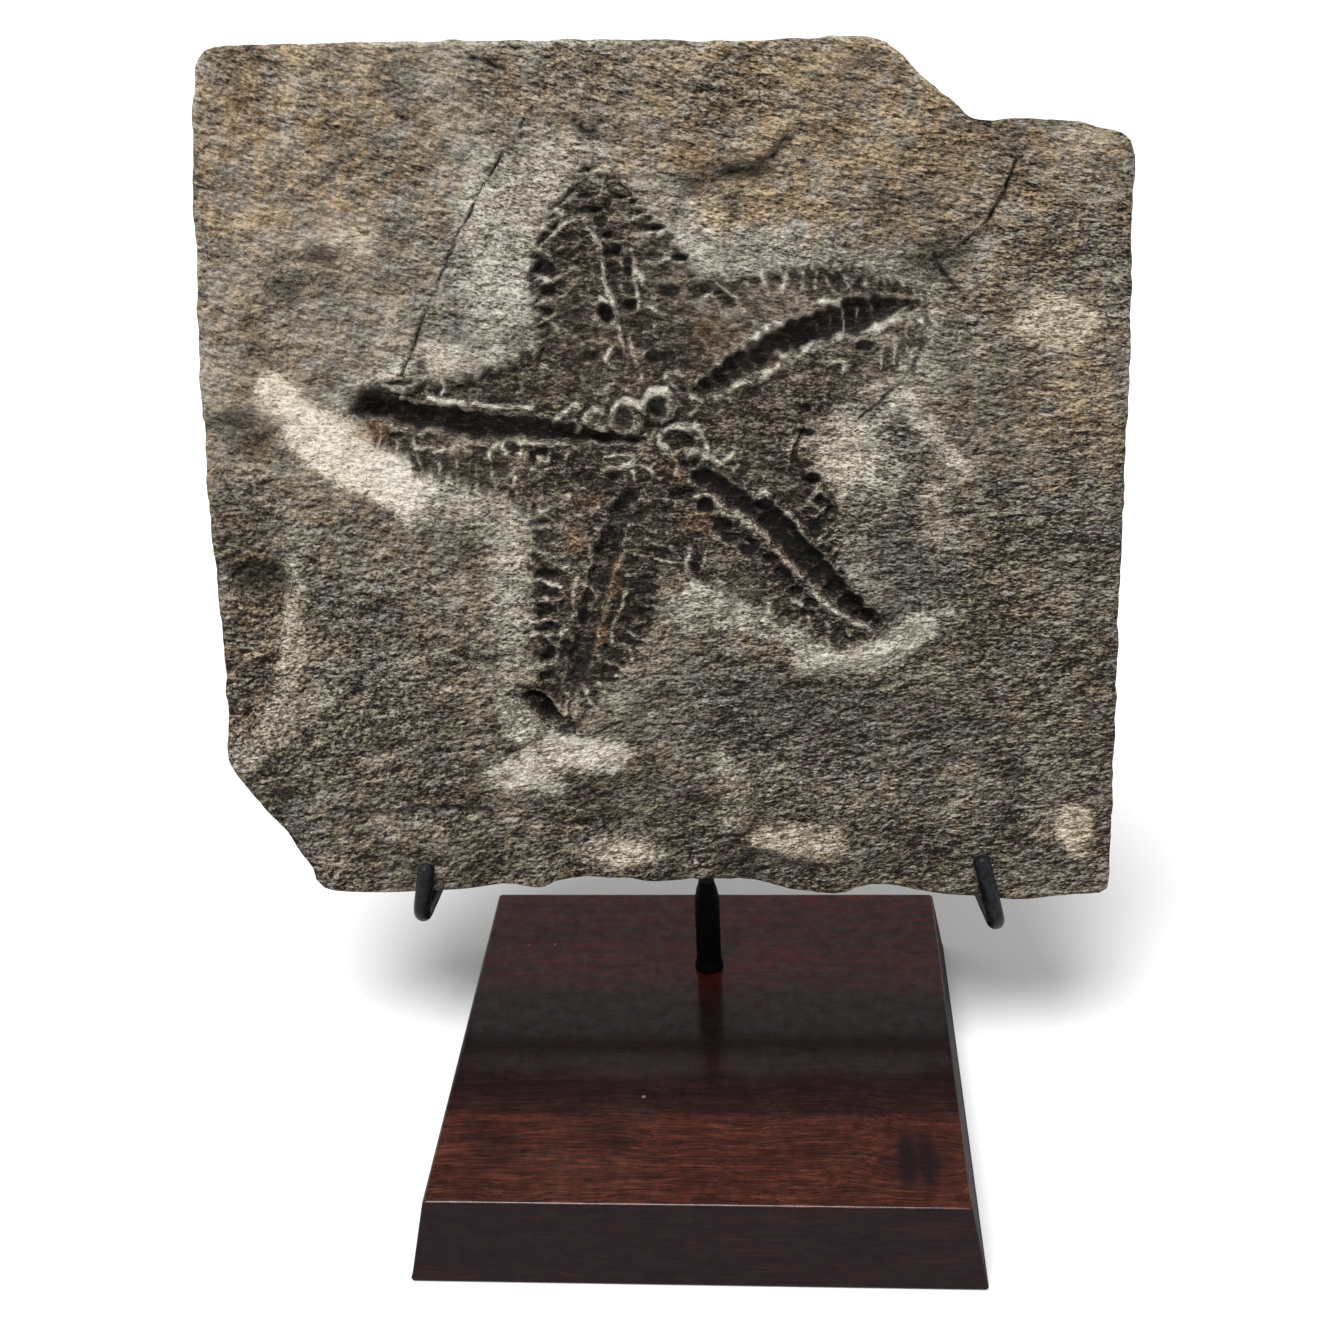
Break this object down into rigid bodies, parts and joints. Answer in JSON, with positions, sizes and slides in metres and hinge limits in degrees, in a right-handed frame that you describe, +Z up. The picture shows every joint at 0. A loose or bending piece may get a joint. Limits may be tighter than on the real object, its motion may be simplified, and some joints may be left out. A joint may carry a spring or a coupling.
{
  "type": "fossil starfish on a stand",
  "caption": "Square slab of brown-grey sandstone with the sunken mould of a starfish, held leaning back in the claws of a black rod stand on a dark hardwood board.",
  "frame": {"origin": "centre of the board's underside, on the surface it stands on", "axes": "+Z up, the starfish faces -Y, +X to the viewer's right"},
  "size_m": [0.2136, 0.1286, 0.2484],
  "materials": {
    "sandstone": "rough split sandstone, brown grey with cream, rust and blue grey patches, dark in the starfish",
    "hardwood": "dark red brown hardwood with short pores, satin lacquer",
    "black_iron": "satin black paint on iron rod"
  },
  "bodies": {
    "root": {"fossil_slab": "sandstone", "base_board": "hardwood", "post": "black_iron", "upright_rod": "black_iron", "cross_bar": "black_iron", "claw_left": "black_iron", "claw_right": "black_iron"}
  },
  "joints": []
}
